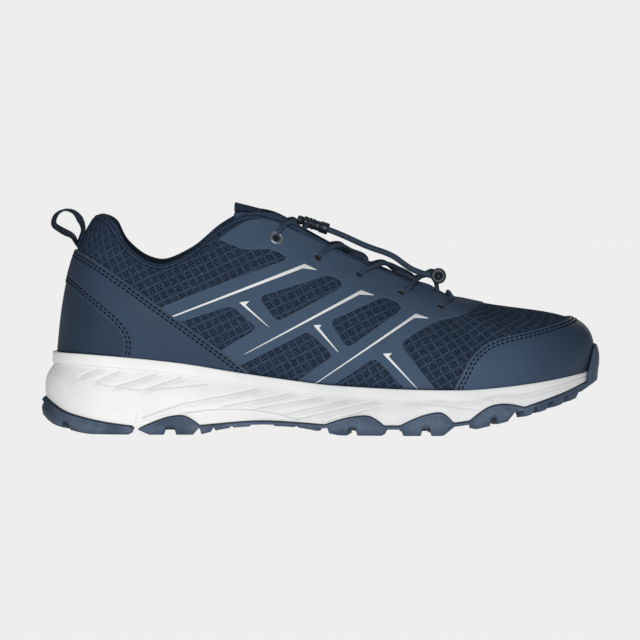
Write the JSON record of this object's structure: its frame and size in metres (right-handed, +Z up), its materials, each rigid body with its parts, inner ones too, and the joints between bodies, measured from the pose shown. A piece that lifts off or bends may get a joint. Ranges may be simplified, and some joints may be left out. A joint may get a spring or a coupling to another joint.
{
  "type": "hiking shoe",
  "caption": "Low-cut hiking shoe for the right foot: lugged rubber sole, foam midsole, hollow mesh upper with bonded panels, padded tongue, elastic lace with a cord lock.",
  "frame": {"origin": "on the floor under the middle of the shoe's outline", "axes": "+X from heel to toe, -Y to the outer side of the foot, +Z up from the floor"},
  "size_m": [0.2974, 0.1051, 0.1198],
  "materials": {
    "outsole_rubber": "matte blue-grey rubber",
    "midsole_foam": "moulded white foam",
    "insole_fabric": "dark fabric over foam",
    "upper_mesh": "dark blue open mesh",
    "synthetic_leather": "fine-grained synthetic leather",
    "eyestay_film": "thin bonded film over mesh",
    "tongue_fabric": "padded dark fabric",
    "webbing": "woven tape",
    "lace_cord": "braided elastic cord",
    "eyelet_metal": "coated metal ring",
    "lock_plastic": "dark moulded plastic"
  },
  "bodies": {
    "root": {"outsole_heel": "outsole_rubber", "outsole_forefoot": "outsole_rubber", "midsole": "midsole_foam", "insole": "insole_fabric", "upper": "upper_mesh", "toe_cap": "synthetic_leather", "quarter_panel": "synthetic_leather", "heel_counter": "synthetic_leather", "eyestay": "eyestay_film", "tongue": "tongue_fabric", "tongue_tab": "webbing", "pull_loop": "webbing", "lace_bar": "lace_cord", "lace_crossing_1": "lace_cord", "lace_crossing_2": "lace_cord", "lace_crossing_3": "lace_cord", "lace_tail_lateral": "lace_cord", "lace_tail_medial": "lace_cord", "lace_run_lateral": "lace_cord", "lace_run_medial": "lace_cord", "eyelet_lateral": "eyelet_metal", "eyelet_medial": "eyelet_metal", "cord_lock_barrel": "lock_plastic", "cord_lock_plunger": "lock_plastic", "cord_end": "lock_plastic"}
  },
  "joints": []
}
